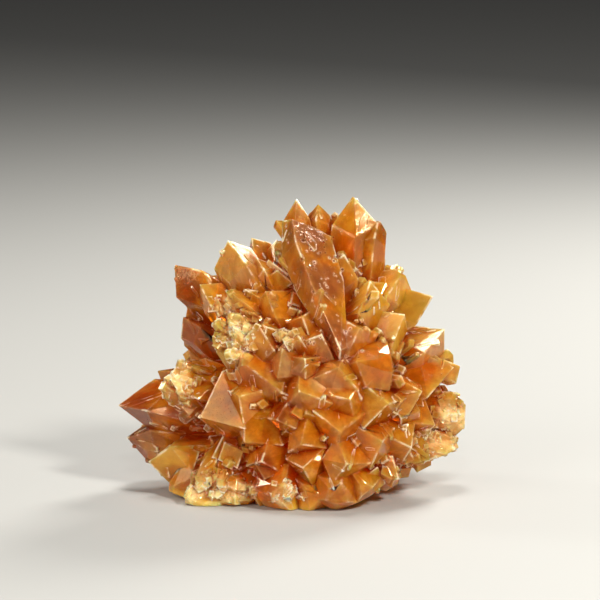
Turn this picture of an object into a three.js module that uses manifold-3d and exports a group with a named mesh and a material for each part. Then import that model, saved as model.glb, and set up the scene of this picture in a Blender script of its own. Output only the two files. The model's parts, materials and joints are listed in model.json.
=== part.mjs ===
// A cluster of honey-orange calcite: stout, blunt-pointed crystals that fan out from one place low in
// the middle, all grown together in a single solid. It stands on the broken foot that it was split off by.
// Millimetres, +Z up, +X to the right and +Y away from the viewer. The origin is under the middle of the
// cluster, on the plane of the foot.
import * as THREE from "three";
import { ConvexGeometry } from "three/addons/geometries/ConvexGeometry.js";
import { mergeVertices } from "three/addons/utils/BufferGeometryUtils.js";
import Module from "manifold-3d";

const wasm = await Module();
wasm.setup();

// The front of the cluster is laid out as it is seen from a little above: "across" is +X, "high" is the
// height in the picture plane over the foot's front edge, and "depth" is +Y. This turns a seen place into
// a real one.
const viewTilt = THREE.MathUtils.degToRad(10);
const footFront = -24;

function placed(across, high, depth) {
  const height = (high - (depth - footFront) * Math.sin(viewTilt)) / Math.cos(viewTilt);
  return new THREE.Vector3(across, depth, height);
}

// Where the crystals fan out from
const growthCentre = new THREE.Vector3(6, 3, 20);

// The crystals' habit: a three-faced point over six flanks, as shares of half the crystal's width
const habit = {
  ridgeDrop: 0.92, // how far below the point its three ridges meet the flanks
  faceDrop: 1.5, // how far below it the three faces reach down between them
  faceReach: 0.9, // radius of the corners between the ridges
  girdleDrop: 3.6, // how far down the crystal is widest
  girdleSwell: 1.16, // radius there
  rootReach: 0.55, // radius at the buried end
};
// How far one crystal strays from that habit
const stray = { corner: 9, radius: 0.1, drop: 0.16, point: 0.16 };

// A fixed number between -1 and 1 for each crystal and each of its measures
function vary(crystalNumber, measure) {
  const wave = Math.sin(crystalNumber * 12.9898 + measure * 78.233) * 43758.5453;
  return (wave - Math.floor(wave)) * 2 - 1;
}

// A closed crystal with its point near the origin and its length down -Z. "steep" stretches the point,
// "flat" narrows the crystal one way, and "blunt" is the share of the point that a slanting face cuts off.
function crystalGeometry({ width, length, steep = 1, flat = 1, blunt = 0, number = 0 }) {
  const half = width / 2;
  const points = [];
  const ring = (radii, drops, measure, slant = 0) => {
    for (let corner = 0; corner < 6; corner++) {
      const turn = corner * 60 + stray.corner * vary(number, measure + corner);
      const angle = THREE.MathUtils.degToRad(turn);
      const radius = radii[corner % 2] * half * (1 + stray.radius * vary(number, measure + corner + 7));
      const drop = drops[corner % 2] * half * (1 + stray.drop * vary(number, measure + corner + 13));
      const x = radius * Math.cos(angle) * flat;
      points.push(new THREE.Vector3(x, radius * Math.sin(angle), -drop + slant * x));
    }
  };
  const shoulder = steep * (1 - blunt);
  if (blunt > 0) {
    ring([blunt, blunt * habit.faceReach], [0.05, 0.12], 30, 0.3 * vary(number, 3));
  } else {
    points.push(new THREE.Vector3(stray.point * half * vary(number, 1), stray.point * half * vary(number, 2), 0));
  }
  ring([1, habit.faceReach], [habit.ridgeDrop * shoulder, habit.faceDrop * shoulder], 40);
  ring([habit.girdleSwell, habit.girdleSwell], [habit.girdleDrop, habit.girdleDrop], 60);
  ring([habit.rootReach, habit.rootReach], [length / half, length / half], 80);
  return new ConvexGeometry(points);
}

// A closed geometry as a solid that can be joined and cut
function solidOf(geometry) {
  geometry.deleteAttribute("normal");
  geometry.deleteAttribute("uv");
  const merged = mergeVertices(geometry, 1e-4);
  return new wasm.Manifold(
    new wasm.Mesh({
      numProp: 3,
      vertProperties: merged.attributes.position.array,
      triVerts: new Uint32Array(merged.index.array),
    }),
  );
}

const up = new THREE.Vector3(0, 0, 1);

// One crystal as a solid, its point at tip and its buried end towards root, turned by roll degrees
function crystal({ tip, root = growthCentre, width, roll = 0, ...shape }) {
  const axis = tip.clone().sub(root);
  const length = Math.max(axis.length() * 0.9, width * 2.3);
  axis.normalize();
  const geometry = crystalGeometry({ width, length, ...shape });
  geometry.rotateZ(THREE.MathUtils.degToRad(roll));
  geometry.applyQuaternion(new THREE.Quaternion().setFromUnitVectors(up, axis));
  geometry.translate(tip.x, tip.y, tip.z);
  return solidOf(geometry);
}

// Smaller crystals grown side by side with a larger one and turned the same way, each a step lower
const goldenAngle = 137.5;
const step = { out: 0.34, outMore: 0.07, down: 0.42, downMore: 0.2, share: 0.5, shareMore: 0.12 };

function steps({ tip, root = growthCentre, width, roll = 0, steep, number }, count) {
  const axis = tip.clone().sub(root).normalize();
  const side = new THREE.Vector3().crossVectors(axis, Math.abs(axis.z) < 0.9 ? up : new THREE.Vector3(1, 0, 0));
  side.normalize();
  const made = [];
  for (let i = 0; i < count; i++) {
    const turn = THREE.MathUtils.degToRad(goldenAngle * (i + number));
    const shift = side.clone().applyAxisAngle(axis, turn);
    shift.multiplyScalar(width * (step.out + step.outMore * vary(number, i + 90)));
    shift.addScaledVector(axis, -width * (step.down + step.downMore * vary(number, i + 95)));
    const share = step.share + step.shareMore * vary(number, i + 100);
    const point = tip.clone().add(shift);
    const foot = root.clone().add(shift);
    made.push(crystal({ tip: point, root: foot, width: width * share, roll, steep, number: number + i + 0.5 }));
  }
  return made;
}

// The crystals of the front. Each row gives the point's place as seen, [across, high, depth], then the
// width, the turn about its own length, how many smaller ones stand beside it, and what else differs.
const crown = [
  [0.6, 79.3, 3, 9.2, 70, 0, { root: placed(9, 30, 2), steep: 1.2 }],
  [-4.6, 68.6, 1, 9, 40, 0, { root: placed(4, 30, 2) }],
  [6.6, 77.8, 2, 7, 20, 0],
  [11.6, 75.4, 5, 8, 60, 0],
  [16.5, 79.8, 0, 13, 95, 0, { root: placed(12, 28, 2), steep: 1.15 }],
  [22.0, 73.4, -2, 8.8, 35, 1, { blunt: 0.2, root: placed(12, 28, 2) }],
  [-10.8, 69.0, 3, 8.5, 15, 0],
  [-16.4, 68.4, -6, 13.5, 50, 1, { root: placed(5, 24, 0) }],
  [-6.0, 63.5, -7, 10, 80, 1],
  [-19.0, 62.0, 5, 8, 10, 0],
];
const rightFlank = [
  [28.0, 60.2, -5, 13, 30, 0, { blunt: 0.25 }],
  [14.0, 64.5, -12, 11, 75, 1],
  [19.8, 57.5, -15, 14, 10, 1],
  [36.2, 54.6, -4, 12.5, 62, 0, { root: placed(-4, 30, 0), steep: 1.15 }],
  [28.5, 49.0, -15, 13, 45, 1],
  [24.0, 37.6, -25, 15, 85, 0, { blunt: 0.4, steep: 0.8 }],
  [39.6, 45.0, -5, 13, 25, 0, { root: placed(8, 22, 0) }],
  [35.6, 46.0, 1, 7, 70, 0],
  [40.0, 39.2, -2, 5, 10, 0],
  [41.4, 35.8, -7, 17, 50, 0, { steep: 0.9 }],
  [45.0, 23.4, -2, 13, 80, 1, { blunt: 0.5, root: placed(6, 26, 2) }],
  [42.4, 14.6, -6, 10.5, 20, 1, { blunt: 0.6, root: placed(8, 20, 0) }],
];
const leftFlank = [
  [-30.8, 61.8, 0, 12, 88, 0, { root: placed(8, 30, 2), steep: 1.1 }],
  [-24.0, 57.0, -8, 10, 20, 1],
  [-28.4, 48.3, -3, 8.5, 55, 1],
  [-27.6, 53.0, 2, 7, 10, 0],
  [-27.2, 41.5, 0, 8, 75, 1],
  [-25.5, 36.5, -5, 8, 35, 1],
  [-16.6, 55.0, -13, 12, 65, 1],
  [-6.0, 55.5, -16, 12, 30, 1],
  [-34.0, 31.4, -10, 12, 15, 2, { root: placed(6, 30, 0) }],
  [-12.4, 37.4, -23, 20, 60, 1, { root: placed(8, 26, 2), steep: 0.65 }],
];
const middle = [
  [2.0, 49.5, -21, 13, 45, 1, { steep: 0.8 }],
  [7.4, 44.6, -26, 12, 80, 0, { steep: 0.8 }],
  [3.0, 38.6, -29, 9, 30, 1],
  [12.5, 36.6, -29, 13, 70, 1, { steep: 0.7 }],
  [-2.6, 40.4, -26, 12, 5, 1, { steep: 0.8 }],
  [-8.6, 46.0, -22, 12, 50, 1, { steep: 0.8 }],
  [17.6, 46.0, -24, 14, 20, 1, { steep: 0.7 }],
  [15.0, 28.4, -31, 13, 55, 1, { steep: 0.7 }],
  [1.6, 29.4, -31, 15, 85, 1, { steep: 0.7 }],
  [23.6, 27.0, -29, 14, 25, 1, { steep: 0.8 }],
  [32.6, 30.6, -21, 14, 60, 1, { steep: 0.8 }],
];
const lowerFront = [
  [-23.4, 24.6, -21, 21, 40, 1, { root: placed(6, 30, 2), steep: 0.65 }],
  [-12.2, 17.0, -26, 17, 75, 1, { root: placed(4, 32, 4), steep: 0.7 }],
  [-13.6, 27.4, -26, 14, 10, 1, { steep: 0.8 }],
  [-4.4, 22.6, -30, 10, 50, 1],
  [3.0, 17.4, -31, 12, 85, 1, { steep: 0.8 }],
  [12.4, 19.6, -32, 15, 30, 1, { steep: 0.7 }],
  [36.2, 21.4, -16, 15, 5, 1, { steep: 0.8 }],
  [22.4, 16.8, -29, 13, 45, 1, { steep: 0.8 }],
  [30.4, 15.6, -23, 13, 80, 1, { steep: 0.8 }],
  [35.4, 12.0, -15, 11, 20, 1],
  [27.6, 8.0, -22, 12, 10, 1, { root: placed(8, 22, 4) }],
  [38.4, 13.0, -9, 11, 50, 1, { root: placed(8, 24, 4) }],
  [-7.6, 11.4, -28, 12, 65, 1, { root: placed(2, 20, 4), steep: 0.8 }],
  [3.6, 10.2, -31, 12, 35, 0, { root: placed(6, 20, 4), steep: 0.8 }],
  [14.2, 11.4, -32, 13, 5, 1, { root: placed(8, 20, 4), steep: 0.7 }],
];
const footFrontRow = [
  [-31.6, 4.6, -12, 13, 20, 1, { root: placed(0, 12, 2), blunt: 0.3 }],
  [-27.0, 1.6, -21, 13, 45, 2, { root: placed(0, 12, 4), blunt: 0.2 }],
  [-17.6, 2.4, -22, 12, 70, 2, { root: placed(0, 12, 4), blunt: 0.3 }],
  [-9.8, 4.0, -24, 11, 10, 1, { root: placed(0, 12, 4), blunt: 0.2 }],
  [-3.6, 4.0, -29, 15, 55, 1, { root: placed(0, 12, 6), blunt: 0.4 }],
  [5.0, 2.6, -28, 13, 15, 1, { root: placed(4, 10, 6), blunt: 0.4 }],
  [11.8, 3.6, -30, 13, 90, 0, { root: placed(8, 12, 4), blunt: 0.5 }],
  [18.6, 5.0, -28, 13, 30, 1, { root: placed(8, 14, 4), blunt: 0.3 }],
];
const leftSpray = [
  [-45.1, 26.8, 1, 16, 30, 0, { root: placed(6, 18, 2), steep: 1.1 }],
  [-35.4, 34.0, 5, 10, 75, 0, { root: placed(4, 20, 6) }],
  [-43.2, 17.6, 3, 14, 60, 0, { root: placed(6, 13, 2), steep: 0.9 }],
  [-37.0, 12.0, -11, 12, 90, 0, { root: placed(6, 12, 0), flat: 0.8 }],
  [-20.4, 12.6, -19, 12, 45, 1, { root: placed(0, 20, 2) }],
  [-34.6, 9.0, 0, 14, 10, 1, { root: placed(2, 12, 2) }],
];

const rows = [crown, rightFlank, leftFlank, middle, lowerFront, footFrontRow, leftSpray].flat();
const rootStray = 6; // how far a crystal's root strays from the growth centre
const front = rows.map(([across, high, depth, width, roll, count, differs = {}], row) => ({
  tip: placed(across, high, depth),
  root: new THREE.Vector3(vary(row, 110), 0, vary(row, 111)).multiplyScalar(rootStray).add(growthCentre),
  width,
  roll,
  count,
  ...differs,
}));

// Patches of small glittering crystals: the middle of each patch as seen, how far it spreads across and up,
// how many there are and how wide they are
const druses = [
  { at: placed(-15.0, 45.6, -17), spread: [6.0, 5.0], count: 13, width: 4.6 },
  { at: placed(-12.6, 39.4, -22), spread: [4.5, 2.6], count: 6, width: 4.2 },
  { at: placed(-1.6, 43.6, -25), spread: [3.4, 2.4], count: 4, width: 4.4 },
  { at: placed(-30.0, 31.6, -13), spread: [4.0, 2.6], count: 6, width: 4.4 },
  { at: placed(-19.4, 4.4, -22), spread: [6.0, 3.0], count: 7, width: 4.8 },
];

function druseCrystals({ at, spread, count, width }, patch) {
  const made = [];
  for (let i = 0; i < count; i++) {
    const turn = THREE.MathUtils.degToRad(goldenAngle * i);
    const out = Math.sqrt((i + 0.5) / count);
    const tip = at.clone().add(
      new THREE.Vector3(
        spread[0] * out * Math.cos(turn),
        1.2 * vary(i, patch) + 0.25 * Math.abs(spread[0] * out * Math.cos(turn)),
        spread[1] * out * Math.sin(turn),
      ),
    );
    const lean = new THREE.Vector3(9 * vary(i, patch + 1), 0, 9 * vary(i, patch + 2));
    const root = tip.clone().sub(growthCentre).multiplyScalar(0.55).add(growthCentre).add(lean);
    const size = width * (1 + 0.25 * vary(i, patch + 3));
    made.push({ tip, root, width: size, roll: goldenAngle * i, count: 0, blunt: i % 3 === 0 ? 0.4 : 0 });
  }
  return made;
}

// The crystals of the back and of the sides behind the front, spread evenly over the rounded form
const back = {
  reach: new THREE.Vector3(38, 29, 49),
  count: 58,
  start: 0.14, // how far round from the side the back begins, as a share of the depth
  lowest: -0.42, // how far below the growth centre they go, as a share of the height
  width: 9.5,
  widthStep: 2.2,
};

function backCrystals() {
  const made = [];
  for (let i = 0; i < back.count; i++) {
    const height = 1 - ((1 - back.lowest) * (i + 0.5)) / back.count;
    const around = THREE.MathUtils.degToRad(goldenAngle * i);
    const girth = Math.sqrt(1 - height * height);
    const way = new THREE.Vector3(girth * Math.cos(around), girth * Math.sin(around), height);
    if (way.y < back.start) {
      continue;
    }
    const proud = 0.95 + 0.07 * vary(i, 5);
    const tip = way.clone().multiply(back.reach).multiplyScalar(proud).add(growthCentre);
    const width = back.width + back.widthStep * ((i * 5) % 4);
    const steep = 0.9 + 0.2 * vary(i, 6);
    made.push({ tip, width, roll: goldenAngle * i * 1.7, steep, count: 1 + (i % 2) });
  }
  return made;
}

// The great blade that lies down the front, wide and square at its upper end and narrow at its lower one
const blade = {
  top: placed(1.6, 72.5, -6),
  foot: placed(13.0, 39.5, -25),
  // Share of the length, half the width, half the thickness, and how far the section slants
  sections: [
    [0, 3.6, 4.5, -2.2],
    [0.18, 6.9, 5.5, 0.6],
    [0.5, 6.2, 6.5, 0],
    [1, 1.5, 3.0, 1.2],
  ],
  ridge: 0.35, // where its two long edges stand, as a share of half the width to each side
};

function bladeSolid() {
  const down = blade.foot.clone().sub(blade.top);
  const length = down.length();
  down.normalize();
  const points = blade.sections.flatMap(([share, halfWidth, halfThickness, slant]) => [
    new THREE.Vector3(-halfWidth, 0, -share * length - slant),
    new THREE.Vector3(halfWidth, 0, -share * length + slant),
    new THREE.Vector3(-halfWidth * blade.ridge, -halfThickness, -share * length),
    new THREE.Vector3(halfWidth * blade.ridge, halfThickness, -share * length),
  ]);
  const geometry = new ConvexGeometry(points);
  geometry.applyQuaternion(new THREE.Quaternion().setFromUnitVectors(up.clone().negate(), down));
  geometry.translate(blade.top.x, blade.top.y, blade.top.z);
  return solidOf(geometry);
}

// The grown-together mass under the crystals' points
const mass = new THREE.Vector3(29, 21, 40);

function innerMass() {
  const geometry = new THREE.IcosahedronGeometry(1, 2);
  geometry.scale(mass.x, mass.y, mass.z);
  geometry.translate(growthCentre.x, growthCentre.y, growthCentre.z);
  return solidOf(geometry);
}

// What the break takes away, as blocks whose upper faces are the broken faces: the plane that the cluster
// stands on, and the rising faces under its right side and its back. Each has a point of the face, how it
// is turned about +Z, and how steeply it rises.
const blockSize = 200;
const breaks = [
  { through: [0, 0, 0], turn: 0, rise: 0 },
  { through: [16, 0, 0], turn: -8, rise: 24 },
  { through: [35, 0, 9], turn: 16, rise: 34 },
  { through: [-6, 18, 0], turn: 82, rise: 26 },
  { through: [-22, 4, 0], turn: 160, rise: 20 },
];

function breakBlock({ through, turn, rise }) {
  const geometry = new THREE.BoxGeometry(blockSize, blockSize, blockSize);
  geometry.translate(rise === 0 ? 0 : blockSize / 2, 0, -blockSize / 2);
  geometry.rotateY(-THREE.MathUtils.degToRad(rise));
  geometry.rotateZ(THREE.MathUtils.degToRad(turn));
  geometry.translate(...through);
  return solidOf(geometry);
}

const all = [...front, ...druses.flatMap(druseCrystals), ...backCrystals()];
let cluster = innerMass().add(bladeSolid());
all.forEach((one, number) => {
  cluster = cluster.add(crystal({ ...one, number }));
  for (const beside of steps({ ...one, number }, one.count)) {
    cluster = cluster.add(beside);
  }
});
for (const one of breaks) {
  cluster = cluster.subtract(breakBlock(one));
}

// The solid's outer surface alone, so that the small hollows shut in between crystals are filled. Corners
// that triangles share belong to one surface, and the surface that holds the most volume is the outer one.
function outerSurface(solid) {
  const { vertProperties: places, triVerts: corners } = solid.getMesh();
  const joinedTo = Array.from({ length: places.length / 3 }, (_, corner) => corner);
  const surfaceOf = (corner) => {
    while (joinedTo[corner] !== corner) {
      joinedTo[corner] = joinedTo[joinedTo[corner]];
      corner = joinedTo[corner];
    }
    return corner;
  };
  for (let i = 0; i < corners.length; i += 3) {
    joinedTo[surfaceOf(corners[i])] = surfaceOf(corners[i + 1]);
    joinedTo[surfaceOf(corners[i + 1])] = surfaceOf(corners[i + 2]);
  }
  const volumes = new Map();
  const at = (corner) => new THREE.Vector3().fromArray(places, corner * 3);
  for (let i = 0; i < corners.length; i += 3) {
    const surface = surfaceOf(corners[i]);
    const share = at(corners[i]).dot(at(corners[i + 1]).cross(at(corners[i + 2])));
    volumes.set(surface, (volumes.get(surface) ?? 0) + share);
  }
  const outer = [...volumes].reduce((most, one) => (one[1] > most[1] ? one : most))[0];
  const kept = [];
  for (let i = 0; i < corners.length; i += 3) {
    if (surfaceOf(corners[i]) === outer) {
      kept.push(corners[i], corners[i + 1], corners[i + 2]);
    }
  }
  return new THREE.BufferGeometry()
    .setAttribute("position", new THREE.BufferAttribute(new Float32Array(places), 3))
    .setIndex(kept);
}

const calcite = new THREE.MeshStandardMaterial({ color: 0xc9761f, roughness: 0.25, metalness: 0 });
const calciteCluster = new THREE.Mesh(outerSurface(cluster), calcite);
calciteCluster.name = "calcite_cluster";

// The cluster is moved sideways so that the origin is under its middle
const extent = new THREE.Box3().setFromObject(calciteCluster);
const middleOf = extent.getCenter(new THREE.Vector3());
calciteCluster.position.set(-middleOf.x, -middleOf.y, 0);

const calciteSpecimen = new THREE.Group();
calciteSpecimen.add(calciteCluster);

export default calciteSpecimen;
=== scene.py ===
import json
import math
import random
import bmesh
import bpy
from mathutils import Matrix, Vector
from mathutils.bvhtree import BVHTree

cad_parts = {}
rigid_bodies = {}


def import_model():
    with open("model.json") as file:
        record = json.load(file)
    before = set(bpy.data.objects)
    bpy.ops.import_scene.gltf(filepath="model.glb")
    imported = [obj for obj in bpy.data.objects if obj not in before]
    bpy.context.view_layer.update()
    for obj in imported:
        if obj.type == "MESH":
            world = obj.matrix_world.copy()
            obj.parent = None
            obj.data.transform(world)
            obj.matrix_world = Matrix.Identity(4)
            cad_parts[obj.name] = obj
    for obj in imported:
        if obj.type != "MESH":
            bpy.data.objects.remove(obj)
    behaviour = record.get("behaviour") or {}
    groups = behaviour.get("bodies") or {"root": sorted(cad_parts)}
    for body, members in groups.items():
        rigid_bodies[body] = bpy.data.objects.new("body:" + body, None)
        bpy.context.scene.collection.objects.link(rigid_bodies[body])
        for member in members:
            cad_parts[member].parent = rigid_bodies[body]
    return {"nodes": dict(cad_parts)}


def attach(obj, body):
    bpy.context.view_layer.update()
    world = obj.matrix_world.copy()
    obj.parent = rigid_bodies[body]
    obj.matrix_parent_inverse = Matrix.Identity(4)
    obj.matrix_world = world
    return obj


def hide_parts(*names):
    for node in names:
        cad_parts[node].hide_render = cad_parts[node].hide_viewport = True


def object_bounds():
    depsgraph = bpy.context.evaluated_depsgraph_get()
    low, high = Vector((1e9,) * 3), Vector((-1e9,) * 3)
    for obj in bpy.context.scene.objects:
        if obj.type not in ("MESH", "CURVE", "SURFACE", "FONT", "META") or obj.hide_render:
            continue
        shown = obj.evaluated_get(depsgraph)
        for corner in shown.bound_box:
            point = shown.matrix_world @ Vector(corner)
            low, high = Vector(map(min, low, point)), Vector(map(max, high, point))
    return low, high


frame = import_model()
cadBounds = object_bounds()
mm = 0.001
heart = Vector((6 * mm, 4 * mm, 20 * mm))  # where the crystals fan out from


def selectOnly(piece):
    bpy.ops.object.select_all(action="DESELECT")
    piece.select_set(True)
    bpy.context.view_layer.objects.active = piece


# Camera: long lens, a little above the specimen, looking straight at its front
cameraSettings = {
    "lens": 240,  # mm
    "sensor": 36,  # mm
    "tilt": 10,  # degrees above level
    "wide": 156 * mm,  # what the picture takes in at the specimen
    "across": 2.2 * mm,  # the middle of the picture, measured sideways and up the picture from the origin
    "high": 49.1 * mm,
    "seesTo": 20,  # metres
}


def addCamera(settings):
    tilt = math.radians(settings["tilt"])
    away = Vector((0, -math.cos(tilt), math.sin(tilt)))
    upward = Vector((0, math.sin(tilt), math.cos(tilt)))
    target = Vector((settings["across"], 0, 0)) + upward * settings["high"]
    distance = settings["wide"] / settings["sensor"] * settings["lens"]
    bpy.ops.object.camera_add(location=target + away * distance)
    camera = bpy.context.object
    camera.name = "studioCamera"
    camera.rotation_euler = (-away).to_track_quat("-Z", "Y").to_euler()
    camera.data.lens = settings["lens"]
    camera.data.clip_end = settings["seesTo"]
    bpy.context.scene.camera = camera


addCamera(cameraSettings)
print("camera set")

# Soft studio lights. Each is aimed at the middle of the specimen.
lightSettings = {
    "keySoftbox": {"place": (0.34, -0.42, 0.46), "size": 0.1, "power": 4.1, "colour": (1.0, 0.95, 0.84)},
    "fillSoftbox": {"place": (-0.45, -0.45, 0.34), "size": 0.4, "power": 1.6, "colour": (1.0, 0.95, 0.84)},
    "backSoftbox": {"place": (0.3, 0.42, 0.4), "size": 0.2, "power": 3.8, "colour": (1.0, 0.95, 0.85)},
    "leftSoftbox": {"place": (-0.5, 0.2, 0.3), "size": 0.14, "power": 0.9, "colour": (1.0, 0.95, 0.85)},
    "topSoftbox": {"place": (0.02, 0.02, 0.6), "size": 0.12, "power": 1.6, "colour": (1.0, 0.96, 0.88)},
    "sparkLight": {"place": (0.0, -0.62, 0.4), "size": 0.04, "power": 0.8, "colour": (1.0, 0.97, 0.9)},
}
lightAim = Vector((0, 0, 36 * mm))
airSettings = {"colour": (0.85, 0.82, 0.78, 1), "strength": 0.04}


def addLights(settings, air):
    for name, light in settings.items():
        bpy.ops.object.light_add(type="AREA", location=light["place"])
        lamp = bpy.context.object
        lamp.name = name
        lamp.data.size = light["size"]
        lamp.data.energy = light["power"]
        lamp.data.color = light["colour"]
        lamp.rotation_euler = (lightAim - lamp.location).to_track_quat("-Z", "Y").to_euler()
    world = bpy.data.worlds.new("studioAir")
    world.use_nodes = True
    background = world.node_tree.nodes["Background"]
    background.inputs["Color"].default_value = air["colour"]
    background.inputs["Strength"].default_value = air["strength"]
    bpy.context.scene.world = world


addLights(lightSettings, airSettings)
bpy.context.scene.view_settings.view_transform = "Standard"
print("lights set")


# Small helpers for node trees
def newMaterial(name):
    material = bpy.data.materials.new(name)
    material.use_nodes = True
    return material, material.node_tree.nodes["Principled BSDF"]


def addNode(tree, kind, **values):
    node = tree.nodes.new(kind)
    for name, value in values.items():
        if name in node.inputs:
            node.inputs[name].default_value = value
        else:
            setattr(node, name, value)
    return node


def feed(tree, socket, value):
    # a socket takes what another node gives, or a plain value
    if isinstance(value, bpy.types.NodeSocket):
        tree.links.new(value, socket)
    else:
        socket.default_value = value


def noiseFrom(tree, place, scale, detail, roughness=0.55):
    noise = addNode(tree, "ShaderNodeTexNoise", Scale=scale, Detail=detail, Roughness=roughness)
    feed(tree, noise.inputs["Vector"], place)
    return noise.outputs["Fac"]


def ramped(tree, value, low, high, toLow=0.0, toHigh=1.0):
    ramp = addNode(tree, "ShaderNodeMapRange", interpolation_type="SMOOTHSTEP")
    for name, number in (("From Min", low), ("From Max", high), ("To Min", toLow), ("To Max", toHigh)):
        ramp.inputs[name].default_value = number
    feed(tree, ramp.inputs["Value"], value)
    return ramp.outputs["Result"]


def mixed(tree, share, first, second):
    mix = tree.nodes.new("ShaderNodeMix")
    mix.data_type = "RGBA"
    feed(tree, mix.inputs[6], first)
    feed(tree, mix.inputs[7], second)
    feed(tree, mix.inputs[0], share)
    return mix.outputs[2]


def combined(tree, operation, first, second):
    node = addNode(tree, "ShaderNodeMath", operation=operation)
    feed(tree, node.inputs[0], first)
    feed(tree, node.inputs[1], second)
    return node.outputs[0]


def vectorMath(tree, operation, *values):
    node = addNode(tree, "ShaderNodeVectorMath", operation=operation)
    for socket, value in zip(node.inputs, values):
        feed(tree, socket, value)
    return node.outputs["Value" if operation == "DISTANCE" else "Vector"]


# Honey calcite: milky and see-through in one, paler where it is sugary, with a painted glow where it is thin,
# painted highlights along its broken edges and painted shade, redder and darker, deep in
calciteSettings = {
    "honey": (0.98, 0.40, 0.010, 1),
    "gold": (0.96, 0.62, 0.06, 1),
    "amber": (0.85, 0.23, 0.003, 1),
    # deep red: for the red spots, and for the painted shade in the gaps between crystals
    "rustAndShade": (0.32, 0.018, 0.001, 1),
    "peach": (1.0, 0.60, 0.11, 1),
    "palePeach": (1.0, 0.66, 0.26, 1),
    "cream": (0.93, 0.68, 0.37, 1),
    # near white, for the painted glints along edges
    "glintWhite": (1.0, 0.88, 0.66, 1),
    "brown": (0.44, 0.15, 0.045, 1),
    "scatter": (1.0, 0.6, 0.35),
    "scatterDepth": 3 * mm,
    "index": 1.6,
    "gloss": 0.2,
    "glossRoughness": 0.04,
    "shine": (1.0, 0.8, 0.46, 1),  # tint of what a face mirrors straight on
    "soak": (0.995, 0.72, 0.06, 1),  # what is left of white light that has gone through it
    "soakDensity": 75.0,
    "thinReach": 4 * mm,  # a crystal less thick than this is painted paler, a painted glow of light through it
    "edgeReach": 0.6 * mm,
    # other surface within this reach outside the crystals brings painted shade
    "gapShadeReach": 6 * mm,
    "rays": 3,  # for each look into thickness, gaps and edges
    # noise: scale, detail and, where it isn't the usual one, roughness
    "warp": {"scale": 140.0, "detail": 2.0, "push": 10 * mm},
    "veils": {"scale": 110.0, "detail": 4, "along": 0.13},
    "clouds": (70.0, 2),
    "grain": (700.0, 4, 0.7),
    "breaks": (260.0, 2),
    # a tiny face glitters where its chance is over "plain", which drops by "lively" in sugary places
    "glitter": {"size": 0.6 * mm, "tilt": 0.8, "plain": 0.93, "lively": 0.4},
    "relief": {"strength": 0.3, "depth": 0.4 * mm, "grain": 0.3, "veils": 0.7},
    # from low to high, and what that turns into where it isn't 0 to 1
    "ramps": {
        "clouds": (0.36, 0.64),
        "goldVeils": (0.5, 0.72, 0.0, 0.45),
        "thinGlow": (1.08, 0.5, 0.0, 0.85),
        "sugarVeils": (0.35, 0.6, 0.35, 1.0),
        "gapShadeRamp": (0.7, 0.26),
        "tone": (0.0, 1.0, 0.82, 1.1),
        "shade": (0.0, 1.0, 1.0, 0.72),
        "breaks": (0.47, 0.6, 0.12, 1.0),
        "edges": (0.9, 0.55),
        "foot": (0.8 * mm, 4 * mm, 0.85, 0.0),
        "clear": (0.65, 0.35, 0.56, 0.68),  # least in the milky veils, most in the clear body between them
        "rough": (0.4, 0.7, 0.05, 0.13),
    },
    # how much of its colour each kind of place takes
    "shares": {
        "gold": 0.65, "amber": 0.6, "peach": 0.6, "gapShade": 0.85, "rustAndShade": 0.75, "brown": 0.85, "cream": 0.72,
    },
    "cloudsInThin": 0.3,
    "milkInGold": 0.3,
    "roughInSugar": 0.1,
    "glitterInBrown": 0.7,
    "spotCore": 0.35,  # the share of a spot's reach that it fills wholly
    # spots given as centre (mm) and reach (mm)
    "rustSpots": [
        ((-40, 0, 20), 12), ((-41, 5, 10), 9), ((-27, -5, 19), 9), ((-24, -3, 41), 9), ((-26, -2, 52), 7),
        ((-7, -26, 13), 5), ((-9, -24, 7), 4), ((-2, -27, 26), 5),
    ],
    "goldSpots": [
        ((33, -5, 49), 13), ((22, -12, 52), 10), ((29, -13, 43), 8), ((-14, -17, 43), 10),
        ((-32, -11, 11), 7),
    ],
    "creamSpots": [
        ((42, -4, 20), 7), ((39, -9, 12), 7), ((-14, -17, 45), 7), ((-14, -20, 40), 4), ((-17, -9, 51), 4),
        ((-30, -12, 31), 7), ((-26, -20, 3), 6), ((-19, -21, 4), 6), ((-14, -22, 4), 5), ((-1, -28, 4), 5),
        ((-2, -23, 45), 4),
    ],
    "peachSpots": [
        ((-15, -7, 61), 9), ((-3, -25, 37), 6), ((8, -27, 33), 5), ((43, -4, 20), 9), ((-26, -18, 7), 8),
        ((38, -4, 38), 7),
    ],
    "amberSpots": [
        ((-9, -21, 37), 8), ((23, -24, 38), 8), ((33, -14, 30), 9), ((12, -28, 25), 7), ((24, -24, 18), 8),
        ((-4, -26, 30), 6),
    ],
    # painted shade: broad faces that the lights catch strongly are painted a little darker
    "shadeSpots": [((18, -3, 69), 9), ((32, -6, 48), 8), ((-18, -21, 25), 8)],
    # edges painted near white all along: painted glints
    "brightSpots": [
        ((12, -18, 53), 3), ((13, -22, 47), 4), ((12, -26, 42), 3), ((-24, -12, 26), 4), ((-22, -8, 17), 4),
        ((-18, -16, 15), 4), ((-32, -10, 10), 5), ((35, -3, 51), 4), ((39, -4, 41), 4), ((-17, -5, 64), 4),
        ((-1, -27, 5), 4), ((15, -26, 18), 4), ((20, -25, 15), 4), ((26, -20, 24), 4), ((20, -25, 31), 4),
        ((29, -12, 33), 4), ((25, -19, 11), 4), ((-10, -24, 26), 4), ((2, -25, 43), 3),
    ],
    # the first three are the blade
    "brownSpots": [((5, -9, 68), 9), ((8, -17, 58), 9), ((11, -25, 45), 9), ((-28, -2, 58), 7)],
}


def spotted(tree, place, spots):
    total = None
    core = calciteSettings["spotCore"]
    for centre, reach in spots:
        away = vectorMath(tree, "DISTANCE", place, [value * mm for value in centre])
        spot = ramped(tree, away, reach * mm, reach * core * mm)
        total = spot if total is None else combined(tree, "MAXIMUM", total, spot)
    return total


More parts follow.
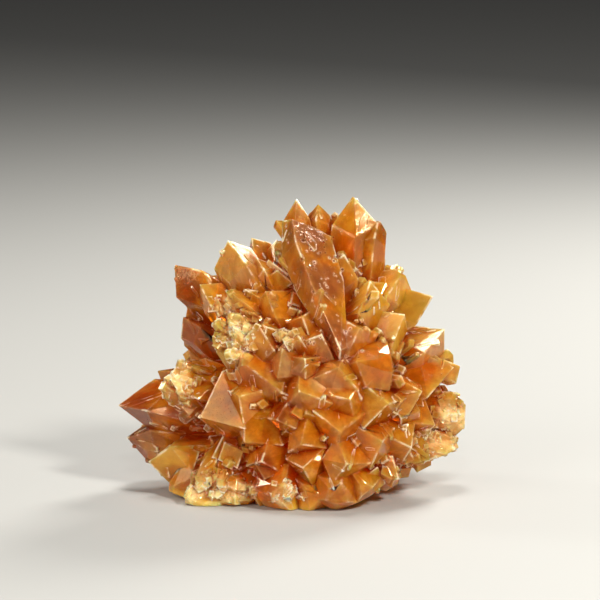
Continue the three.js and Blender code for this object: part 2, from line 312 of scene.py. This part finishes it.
def nearbySurface(tree, reach, inside=False):
    # falls from 1 where other surface lies within reach, outside the crystals or inside them
    look = addNode(tree, "ShaderNodeAmbientOcclusion", inside=inside, only_local=True, Distance=reach)
    look.samples = calciteSettings["rays"]
    return look.outputs["AO"]


def loosened(tree, place, warp):
    # the place, pushed about a little, so that no patch has an even edge
    noise = addNode(tree, "ShaderNodeTexNoise", Scale=warp["scale"], Detail=warp["detail"])
    feed(tree, noise.inputs["Vector"], place)
    push = vectorMath(tree, "SUBTRACT", noise.outputs["Color"], (0.5, 0.5, 0.5))
    return vectorMath(tree, "MULTIPLY_ADD", push, (warp["push"],) * 3, place)


def alongCrystals(tree, place, along):
    # patterns run along the crystals: the direction out of the heart counts more than the distance
    direction = vectorMath(tree, "NORMALIZE", vectorMath(tree, "SUBTRACT", place, heart))
    return vectorMath(tree, "MULTIPLY_ADD", direction, (along,) * 3, place)


def glitteringNormal(tree, place, lively, glitter):
    # tiny faces, each tilted its own way: a few on the plain faces and many where it is lively
    cells = addNode(tree, "ShaderNodeTexVoronoi", Scale=1 / glitter["size"])
    feed(tree, cells.inputs["Vector"], place)
    tilt = vectorMath(tree, "SUBTRACT", cells.outputs["Color"], (0.5, 0.5, 0.5))
    chance = addNode(tree, "ShaderNodeSeparateColor")
    feed(tree, chance.inputs[0], cells.outputs["Color"])
    seldom = combined(tree, "SUBTRACT", glitter["plain"], combined(tree, "MULTIPLY", lively, glitter["lively"]))
    chosen = combined(tree, "GREATER_THAN", chance.outputs[0], seldom)
    tilted = addNode(tree, "ShaderNodeVectorMath", operation="SCALE")
    feed(tree, tilted.inputs[0], tilt)
    feed(tree, tilted.inputs["Scale"], combined(tree, "MULTIPLY", chosen, glitter["tilt"]))
    normal = tree.nodes.new("ShaderNodeNewGeometry").outputs["Normal"]
    return vectorMath(tree, "NORMALIZE", vectorMath(tree, "ADD", normal, tilted.outputs[0]))


def makeCalcite(settings):
    material, shader = newMaterial("honeyCalcite")
    tree = material.node_tree
    ramps, shares = settings["ramps"], settings["shares"]
    place = tree.nodes.new("ShaderNodeTexCoord").outputs["Object"]
    loose = loosened(tree, place, settings["warp"])
    along = alongCrystals(tree, place, settings["veils"]["along"])
    veils = noiseFrom(tree, along, settings["veils"]["scale"], settings["veils"]["detail"])
    clouds = noiseFrom(tree, place, *settings["clouds"])
    grain = noiseFrom(tree, place, *settings["grain"])

    def coloured(under, mask, share, name):
        return mixed(tree, combined(tree, "MULTIPLY", mask, shares[share]), under, settings[name])

    # the body of a crystal is amber, and its thin points and edges are painted paler, a painted glow of light
    # coming through them
    colour = mixed(tree, ramped(tree, clouds, *ramps["clouds"]), settings["amber"], settings["honey"])
    colour = mixed(tree, ramped(tree, veils, *ramps["goldVeils"]), colour, settings["gold"])
    golden = spotted(tree, loose, settings["goldSpots"])
    colour = coloured(colour, golden, "gold", "gold")
    colour = coloured(colour, spotted(tree, loose, settings["amberSpots"]), "amber", "amber")
    colour = coloured(colour, spotted(tree, loose, settings["peachSpots"]), "peach", "palePeach")
    thickness = nearbySurface(tree, settings["thinReach"], inside=True)
    thinGlow = combined(tree, "ADD", thickness, combined(tree, "MULTIPLY", clouds, settings["cloudsInThin"]))
    colour = mixed(tree, ramped(tree, thinGlow, *ramps["thinGlow"]), colour, settings["peach"])
    sugarVeils = ramped(tree, veils, *ramps["sugarVeils"])
    sugary = combined(tree, "MULTIPLY", spotted(tree, loose, settings["creamSpots"]), sugarVeils)

    # painted shade: deep places, in the gaps between crystals, are painted redder and darker, where shade falls
    gapShade = ramped(tree, nearbySurface(tree, settings["gapShadeReach"]), *ramps["gapShadeRamp"])
    gapShade = combined(tree, "MULTIPLY", gapShade, combined(tree, "SUBTRACT", 1.0, sugary))
    colour = coloured(colour, gapShade, "gapShade", "rustAndShade")
    colour = coloured(colour, spotted(tree, loose, settings["rustSpots"]), "rustAndShade", "rustAndShade")
    brown = spotted(tree, loose, settings["brownSpots"])
    colour = coloured(colour, brown, "brown", "brown")
    colour = coloured(colour, sugary, "cream", "cream")

    # each crystal has its own tone, and a few broad faces get painted shade
    tone = tree.nodes.new("ShaderNodeAttribute")
    tone.attribute_name = "crystalTone"
    shaded = ramped(tree, spotted(tree, loose, settings["shadeSpots"]), *ramps["shade"])
    shade = tree.nodes.new("ShaderNodeHueSaturation")
    light = combined(tree, "MULTIPLY", ramped(tree, tone.outputs["Fac"], *ramps["tone"]), shaded)
    feed(tree, shade.inputs["Value"], light)
    feed(tree, shade.inputs["Color"], colour)

    # painted highlights: edges are painted near white as thin broken lines of glint
    edge = nearbySurface(tree, settings["edgeReach"], inside=True)
    breaks = ramped(tree, noiseFrom(tree, place, *settings["breaks"]), *ramps["breaks"])
    glinting = combined(tree, "MAXIMUM", breaks, spotted(tree, loose, settings["brightSpots"]))
    paintedGlintLines = combined(tree, "MULTIPLY", ramped(tree, edge, *ramps["edges"]), glinting)
    feed(tree, shader.inputs["Base Color"], mixed(tree, paintedGlintLines, shade.outputs["Color"], settings["glintWhite"]))

    # light goes through all but the sugary, golden and bright places and the foot
    height = tree.nodes.new("ShaderNodeSeparateXYZ")
    feed(tree, height.inputs[0], place)
    foot = ramped(tree, height.outputs["Z"], *ramps["foot"])
    milky = combined(tree, "MAXIMUM", sugary, paintedGlintLines)
    milky = combined(tree, "MAXIMUM", milky, combined(tree, "MULTIPLY", golden, settings["milkInGold"]))
    milky = combined(tree, "MAXIMUM", milky, foot)
    clear = ramped(tree, veils, *ramps["clear"])
    clear = combined(tree, "MULTIPLY", clear, combined(tree, "SUBTRACT", 1.0, milky))
    feed(tree, shader.inputs["Transmission Weight"], clear)

    rough = ramped(tree, clouds, *ramps["rough"])
    rough = combined(tree, "ADD", rough, combined(tree, "MULTIPLY", sugary, settings["roughInSugar"]))
    feed(tree, shader.inputs["Roughness"], rough)
    for name, value in (
        ("Subsurface Weight", 1.0),
        ("Subsurface Radius", settings["scatter"]),
        ("Subsurface Scale", settings["scatterDepth"]),
        ("IOR", settings["index"]),
        ("Specular Tint", settings["shine"]),
        ("Coat Weight", settings["gloss"]),
        ("Coat Roughness", settings["glossRoughness"]),
        ("Coat IOR", settings["index"]),
    ):
        shader.inputs[name].default_value = value

    # fine growth steps along the crystals, and grain
    relief = settings["relief"]
    lively = combined(tree, "MAXIMUM", sugary, combined(tree, "MULTIPLY", brown, settings["glitterInBrown"]))
    grains = combined(tree, "MULTIPLY", grain, relief["grain"])
    steps = combined(tree, "ADD", grains, combined(tree, "MULTIPLY", veils, relief["veils"]))
    bump = addNode(tree, "ShaderNodeBump", Strength=relief["strength"], Distance=relief["depth"])
    feed(tree, bump.inputs["Height"], steps)
    feed(tree, bump.inputs["Normal"], glitteringNormal(tree, along, lively, settings["glitter"]))
    feed(tree, shader.inputs["Normal"], bump.outputs["Normal"])
    feed(tree, shader.inputs["Coat Normal"], bump.outputs["Normal"])

    soak = addNode(tree, "ShaderNodeVolumeAbsorption", Density=settings["soakDensity"], Color=settings["soak"])
    feed(tree, tree.nodes["Material Output"].inputs["Volume"], soak.outputs[0])
    return material


calcite = makeCalcite(calciteSettings)
print("calcite mixed")

# The cluster itself, from a copy of the solid. Small crystals, ledges and cleavage blocks grow on its
# faces, pits are etched into them, and then all its edges are worn
clusterSettings = {
    "joinWithin": 0.001 * mm,
    "flatWithin": 0.5,  # degrees
    "edge": 0.34 * mm,
    "edgeShare": 0.3,  # how much of a small face its worn edges may take
    "sideShare": 0.35,  # and how much of the sides that meet at its corners
    "strays": 0.6,  # a corner that the wear pushes further off than this share of the edge is drawn back
    "sharp": 16,  # degrees between faces that counts as an edge
    "seed": 7,
    "reach": Vector((40 * mm, 32 * mm, 55 * mm)),  # how far the crystals' points go from the heart
}
growthSettings = {
    # side: across (mm). out: how far the end or middle stands out, as a share of the side.
    # within: where on the rounded form it may grow, 0 at the heart and 1 at the points
    # room: how far it keeps from the sides of the solid's box, as a share of the side
    # standing: moved out along itself, and not along the face's normal
    "smallCrystals": {
        "count": 420, "side": (1.6, 4.6), "out": (0.25, 1.1), "tilt": 13, "within": 0.93, "patch": "plain",
        "room": 0.5, "long": 2.2, "standing": True,
    },
    "mosaic": {
        "count": 150, "side": (3.0, 7.0), "out": (-0.7, -0.54), "tilt": 6, "within": 0.96, "patch": "plain",
        "room": 0.9, "standing": False,
    },
    "blocks": {
        "count": 150, "side": (1.2, 3.6), "out": (-0.5, -0.38), "tilt": 5, "within": 0.97, "patch": "plain",
        "room": 0.9, "standing": False,
    },
    "sugar": {
        "count": 620, "side": (0.6, 2.2), "out": (-0.42, -0.1), "tilt": 40, "within": 2.0, "patch": "sugary",
        "room": 0.8, "standing": False,
    },
    "pits": {
        "count": 260, "side": (0.25, 0.75), "out": (-0.2, 0.1), "tilt": 30, "within": 2.0, "patch": "pitted",
        "room": 0, "standing": False,
    },
    # broken bits round the back of the foot, up to the height given
    "footGrains": {
        "count": 190, "side": (1.4, 4.4), "out": (-0.42, -0.15), "tilt": 25, "within": 2.0, "patch": "foot",
        "room": 0.9, "standing": False, "height": 9 * mm, "front": -8 * mm,
    },
    # long, as a share of the face's size, and wide as a share of that
    "ledges": {
        "count": 260, "side": (0.5, 1.3), "wide": (0.1, 0.4), "raised": (0.08, 0.26), "thick": 1 * mm,
        "smallest": 5, "centred": 0.5,
        "cuts": (((0.32, 0.3, 0), (0.8, 0.6, 0)), ((-0.4, -0.2, 0), (-0.9, -0.45, 0))),
    },
    # crystals whose faces stay bare: centre and reach (mm)
    "bareSpots": [
        ((34, -4, 50), 10), ((-41, 1, 22), 8), ((-40, 3, 12), 7), ((-34, -10, 9), 8), ((-14, -7, 62), 8),
        ((16, -2, 72), 9), ((22, -3, 67), 7), ((1, -1, 72), 7), ((7, 1, 72), 5), ((-28, -1, 56), 7),
        ((23, -24, 38), 6), ((-9, -21, 37), 6), ((-17, -22, 23), 8), ((33, -12, 30), 6), ((-10, 0, 63), 7),
        ((-27, -2, 44), 6), ((38, -4, 40), 5),
    ],
    "squat": 0.86,  # a cleavage block is a cube pressed a little along its long diagonal
    "slope": 46,  # degrees from the axis to the face normals of a point
    "stretch": (0.65, 1.2),  # across, each way
    "turn": 120,  # degrees that the tone of a crystal turns what grows on it
    "rollShare": 40,  # degrees of tilt for each radian of further turn
    "lowest": 2 * mm,  # nothing grows on faces below this
    "batch": 400,
}


def markTones(piece, seed):
    # faces that meet over outward edges are one crystal, and each crystal gets one tone
    mesh = piece.data
    work = bmesh.new()
    work.from_mesh(mesh)
    work.faces.ensure_lookup_table()
    chooser = random.Random(seed)
    tones = [None] * len(work.faces)
    for start in work.faces:
        if tones[start.index] is not None:
            continue
        tone = chooser.random()
        waiting = [start]
        tones[start.index] = tone
        while waiting:
            face = waiting.pop()
            for edge in face.edges:
                if not edge.is_convex:
                    continue
                for other in edge.link_faces:
                    if tones[other.index] is None:
                        tones[other.index] = tone
                        waiting.append(other)
    work.free()
    layer = mesh.attributes.new("crystalTone", "FLOAT", "FACE")
    layer.data.foreach_set("value", tones)


def markEdges(piece, settings):
    # an edge between broad faces is worn fully, and one beside a sliver hardly at all
    work = bmesh.new()
    work.from_mesh(piece.data)
    layer = work.edges.layers.float.new("bevel_weight_edge")
    room = {}
    for face in work.faces:
        around = max(face.calc_perimeter(), 1e-9)
        room[face] = settings["edgeShare"] * 2 * face.calc_area() / around
    for edge in work.edges:
        if len(edge.link_faces) != 2 or edge.calc_face_angle(0) < math.radians(settings["sharp"]):
            continue
        least = min(room[face] for corner in edge.verts for face in corner.link_faces)
        sides = [side.calc_length() for corner in edge.verts for side in corner.link_edges]
        least = min(least, *(length * settings["sideShare"] for length in sides))
        edge[layer] = max(0.0, min(1.0, least / settings["edge"]))
    work.to_mesh(piece.data)
    work.free()


def wearEdges(piece, settings):
    # narrow chamfers along the marked edges. Where one runs out of a thin corner, it is drawn back
    markEdges(piece, settings)
    bare = bmesh.new()
    bare.from_mesh(piece.data)
    surface = BVHTree.FromBMesh(bare)
    bare.free()
    selectOnly(piece)
    worn = piece.modifiers.new("wornEdges", "BEVEL")
    worn.width = settings["edge"]
    worn.segments = 1
    worn.limit_method = "WEIGHT"
    worn.use_clamp_overlap = False
    bpy.ops.object.modifier_apply(modifier="wornEdges")
    for corner in piece.data.vertices:
        nearest, _, _, away = surface.find_nearest(corner.co)
        if away > settings["edge"] * settings["strays"]:
            corner.co = nearest


def newShape(name):
    shape = bpy.context.object
    shape.name = name
    bpy.ops.object.mode_set(mode="EDIT")
    bpy.ops.mesh.select_all(action="SELECT")
    return shape


def cutAway(place, normal):
    bpy.ops.mesh.select_all(action="SELECT")
    bpy.ops.mesh.bisect(plane_co=place, plane_no=normal, use_fill=True, clear_outer=True)


def makeBlock(settings):
    bpy.ops.object.select_all(action="DESELECT")
    bpy.ops.mesh.primitive_cube_add(size=1)
    block = newShape("cleavageBlock")
    bpy.ops.transform.rotate(value=math.radians(45), orient_axis="Z", center_override=(0, 0, 0))
    bpy.ops.transform.rotate(value=math.atan(math.sqrt(2)), orient_axis="Y", center_override=(0, 0, 0))
    bpy.ops.transform.resize(value=(1, 1, settings["squat"]), center_override=(0, 0, 0))
    bpy.ops.object.mode_set(mode="OBJECT")
    return block


def makeSmallCrystal(settings):
    # six flanks under a three-faced point, its tip at the origin
    long = settings["smallCrystals"]["long"]
    slope = math.radians(settings["slope"])
    bpy.ops.object.select_all(action="DESELECT")
    bpy.ops.mesh.primitive_cylinder_add(vertices=6, radius=0.5, depth=long)
    crystal = newShape("smallCrystal")
    bpy.ops.transform.translate(value=(0, 0, -long / 2))
    for turn in (30, 150, 270):
        side = math.radians(turn)
        normal = (math.cos(side) * math.sin(slope), math.sin(side) * math.sin(slope), math.cos(slope))
        cutAway((0, 0, 0), normal)
    bpy.ops.object.mode_set(mode="OBJECT")
    return crystal


def makeLedge(settings):
    # a thin sheet with two corners gone
    bpy.ops.object.select_all(action="DESELECT")
    bpy.ops.mesh.primitive_cube_add(size=1)
    ledge = newShape("growthLedge")
    for place, normal in settings["ledges"]["cuts"]:
        cutAway(place, normal)
    bpy.ops.object.mode_set(mode="OBJECT")
    return ledge


def nearSpots(point, spots):
    return any((point - Vector(centre) * mm).length < reach * mm for centre, reach in spots)


def patchAt(point):
    if nearSpots(point, calciteSettings["creamSpots"]):
        return "sugary"
    if nearSpots(point, calciteSettings["brownSpots"][:3]):
        return "pitted"
    return "bare" if nearSpots(point, growthSettings["bareSpots"]) else "plain"


def growsOn(point, patch):
    foot = growthSettings["footGrains"]
    if patch == "foot":
        return point.z < foot["height"] and point.y > foot["front"]
    return patchAt(point) == patch


def outwardShare(point):
    # how far out a point is, as a share of the rounded form that the crystals' points make
    away = point - heart
    return Vector([away[i] / clusterSettings["reach"][i] for i in range(3)]).length


def insideBox(point, room):
    low, high = cadBounds
    return all(low[i] + room < point[i] < high[i] - room for i in range(3))


def pointsOn(piece, chooser, smallest=0.0):
    # points spread over the surface by area, without end, each with the middle of its triangle
    mesh = piece.data
    lowest = growthSettings["lowest"]
    triangles = [t for t in mesh.loop_triangles if t.center.z > lowest and t.area > smallest * mm * mm]
    areas = [t.area for t in triangles]
    while True:
        for triangle in chooser.choices(triangles, weights=areas, k=growthSettings["batch"]):
            a, b, c = (mesh.vertices[corner].co for corner in triangle.vertices)
            u, v = chooser.random(), chooser.random()
            if u + v > 1:
                u, v = 1 - u, 1 - v
            yield triangle, a + (b - a) * u + (c - a) * v, (a + b + c) / 3


def growthPlaces(piece, settings, chooser):
    # where the crystals, blocks or pits of one kind stand, each pointing away from the heart
    tones = piece.data.attributes["crystalTone"].data
    low, high = settings["side"]
    found = []
    for triangle, point, _ in pointsOn(piece, chooser):
        if not growsOn(point, settings["patch"]) or outwardShare(point) > settings["within"]:
            continue
        side = (low + (high - low) * chooser.random() ** 2) * mm  # most are small
        out = chooser.uniform(*settings["out"]) * side
        outward = (point - heart).normalized()
        lean = Vector([chooser.gauss(0, 1) for _ in range(3)]) * math.radians(settings["tilt"])
        turn = (outward + lean).to_track_quat("Z", "Y").to_matrix().to_4x4()
        tone = tones[triangle.polygon_index].value
        roll = tone * math.radians(growthSettings["turn"])
        roll += chooser.gauss(0, settings["tilt"] / growthSettings["rollShare"])
        rise = (turn @ Vector((0, 0, 1))) if settings["standing"] else triangle.normal
        place = point + rise * out
        if not insideBox(place, side * settings["room"]):
            continue
        across = [side * chooser.uniform(*growthSettings["stretch"]) for _ in range(2)]
        shape = Matrix.Diagonal((*across, side, 1))
        found.append((Matrix.Translation(place) @ turn @ Matrix.Rotation(roll, 4, "Z") @ shape, tone))
        if len(found) == settings["count"]:
            return found


def ledgePlaces(piece, settings, chooser):
    # sheets that lie on the broader faces, along the crystals
    tones = piece.data.attributes["crystalTone"].data
    thick = settings["thick"]
    found = []
    for triangle, point, middle in pointsOn(piece, chooser, settings["smallest"]):
        if patchAt(point) == "sugary":
            continue
        normal = triangle.normal
        centre = point.lerp(middle, settings["centred"])
        along = centre - heart
        along = (along - normal * along.dot(normal)).normalized()
        long = chooser.uniform(*settings["side"]) * math.sqrt(triangle.area)
        wide = long * chooser.uniform(*settings["wide"])
        raised = chooser.uniform(*settings["raised"]) * mm
        axes = Matrix((along * long, normal.cross(along) * wide, normal * thick)).transposed().to_4x4()
        place = Matrix.Translation(centre + normal * (raised - thick / 2))
        found.append((place @ axes, tones[triangle.polygon_index].value))
        if len(found) == settings["count"]:
            return found


def joinAll(piece, shape, places, operation):
    heap = bpy.data.collections.new("grownPieces")
    bpy.context.scene.collection.children.link(heap)
    for place, tone in places:
        copy = shape.copy()
        copy.data = shape.data.copy()
        copy.data.attributes.new("crystalTone", "FLOAT", "FACE")
        copy.data.transform(place)
        copy.data.attributes["crystalTone"].data.foreach_set("value", [tone] * len(copy.data.polygons))
        heap.objects.link(copy)
    selectOnly(piece)
    grown = piece.modifiers.new("grownPieces", "BOOLEAN")
    grown.operation = operation
    grown.solver = "MANIFOLD"
    grown.operand_type = "COLLECTION"
    grown.collection = heap
    bpy.ops.object.modifier_apply(modifier="grownPieces")
    for copy in list(heap.objects):
        bpy.data.objects.remove(copy)
    bpy.data.collections.remove(heap)


def dropCrumbs(piece):
    # only what hangs together with the highest point stays
    top = max(piece.data.vertices, key=lambda corner: corner.co.z).index
    bpy.ops.object.mode_set(mode="EDIT")
    bpy.ops.mesh.select_mode(type="VERT")
    bpy.ops.mesh.select_all(action="DESELECT")
    bpy.ops.object.mode_set(mode="OBJECT")
    piece.data.vertices[top].select = True
    bpy.ops.object.mode_set(mode="EDIT")
    bpy.ops.mesh.select_linked()
    bpy.ops.mesh.select_all(action="INVERT")
    bpy.ops.mesh.delete(type="VERT")
    bpy.ops.object.mode_set(mode="OBJECT")


def growAll(piece, settings, seed):
    # all places are chosen on the bare solid, before anything grows on it
    piece.data.calc_loop_triangles()
    chooser = random.Random(seed)
    block, crystal, ledge = makeBlock(settings), makeSmallCrystal(settings), makeLedge(settings)
    grown = [
        (crystal, growthPlaces(piece, settings["smallCrystals"], chooser)),
        (block, growthPlaces(piece, settings["mosaic"], chooser)),
        (block, growthPlaces(piece, settings["blocks"], chooser)),
        (block, growthPlaces(piece, settings["sugar"], chooser)),
        (ledge, ledgePlaces(piece, settings["ledges"], chooser)),
    ]
    pits = growthPlaces(piece, settings["pits"], chooser)
    grown.append((block, growthPlaces(piece, settings["footGrains"], chooser)))
    for shape, places in grown:
        joinAll(piece, shape, places, "UNION")
    joinAll(piece, block, pits, "DIFFERENCE")
    dropCrumbs(piece)
    for shape in (block, crystal, ledge):
        bpy.data.objects.remove(shape)


def makeCluster(settings):
    selectOnly(frame["nodes"]["calcite_cluster"])
    bpy.ops.object.duplicate()
    piece = bpy.context.object
    piece.name = "calciteCrystals"
    piece.data.name = "calciteCrystals"
    bpy.ops.object.mode_set(mode="EDIT")
    bpy.ops.mesh.select_all(action="SELECT")
    bpy.ops.mesh.remove_doubles(threshold=settings["joinWithin"])
    bpy.ops.object.mode_set(mode="OBJECT")
    markTones(piece, settings["seed"])
    growAll(piece, growthSettings, settings["seed"])
    print("small crystals, ledges, blocks and pits made:", len(piece.data.polygons), "faces")
    bpy.ops.object.mode_set(mode="EDIT")
    bpy.ops.mesh.select_all(action="SELECT")
    bpy.ops.mesh.dissolve_limited(angle_limit=math.radians(settings["flatWithin"]))
    bpy.ops.object.mode_set(mode="OBJECT")
    wearEdges(piece, settings)
    piece.data.materials.clear()
    piece.data.materials.append(calcite)
    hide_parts("calcite_cluster")
    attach(piece, "root")
    return piece


cluster = makeCluster(clusterSettings)
print("cluster made:", len(cluster.data.polygons), "faces")

# Floor: a plain pale sheet
floorSettings = {"size": 3.0, "below": 0.05 * mm, "colour": (0.45, 0.46, 0.47, 1), "roughness": 0.7}


def makeFloor(settings):
    bpy.ops.object.select_all(action="DESELECT")
    bpy.ops.mesh.primitive_plane_add(size=settings["size"], location=(0, 0, -settings["below"]))
    floor = bpy.context.object
    floor.name = "paleFloor"
    material, shader = newMaterial("palePaper")
    shader.inputs["Base Color"].default_value = settings["colour"]
    shader.inputs["Roughness"].default_value = settings["roughness"]
    floor.data.materials.append(material)


makeFloor(floorSettings)
print("floor made")
